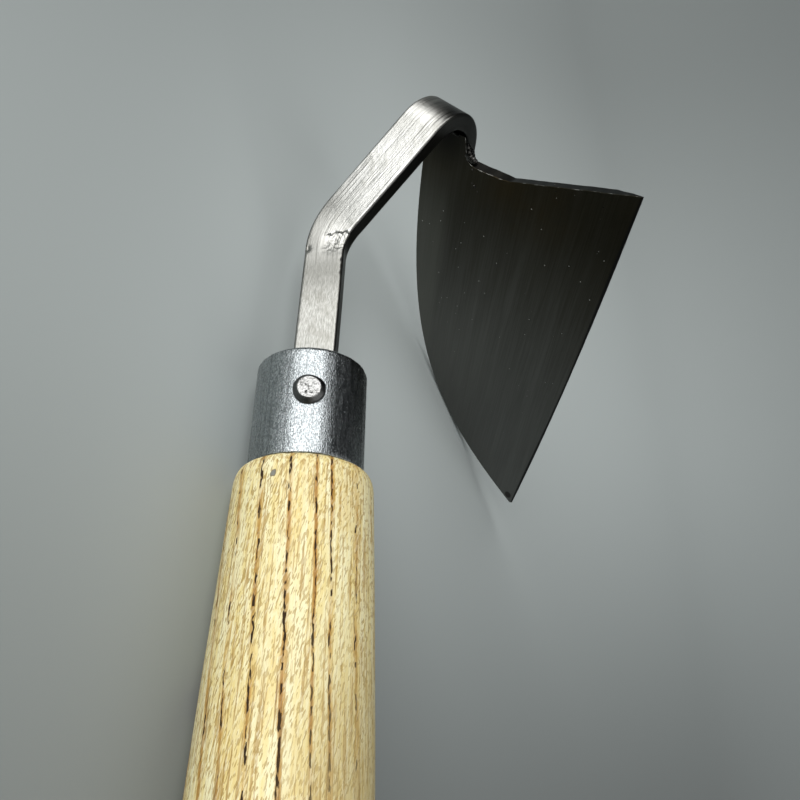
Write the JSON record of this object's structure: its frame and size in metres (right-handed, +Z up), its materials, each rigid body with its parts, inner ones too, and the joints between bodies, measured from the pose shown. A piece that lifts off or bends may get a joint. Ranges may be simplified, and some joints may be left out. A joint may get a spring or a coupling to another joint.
{
  "type": "hand weeding hoe",
  "caption": "One-handed hoe: turned wooden handle, metal ferrule, flat bent neck folded over at the head, and a flat blade with a straight cutting edge and a curved back, turned to one side.",
  "frame": {"origin": "on the floor under the middle of the bounding box, with the tool lying on it", "axes": "+X runs along the handle from the butt to the head, +Z is up from the floor, +Y completes the right-handed set"},
  "size_m": [0.3308, 0.136, 0.0844],
  "materials": {
    "ash_wood": "pale open-pored ash, thinly oiled",
    "zinc_plate": "satin bluish plating with a fine grain",
    "bar_steel": "stainless bar, brushed along its length",
    "blade_steel": "rolled stainless plate, faintly brushed",
    "rivet_steel": "hammered, satin",
    "weld_metal": "rippled weld, brushed clean"
  },
  "bodies": {
    "root": {"handle": "ash_wood", "ferrule": "zinc_plate", "neck_bar": "bar_steel", "blade": "blade_steel", "rivet": "rivet_steel", "weld_bead": "weld_metal"}
  },
  "joints": []
}
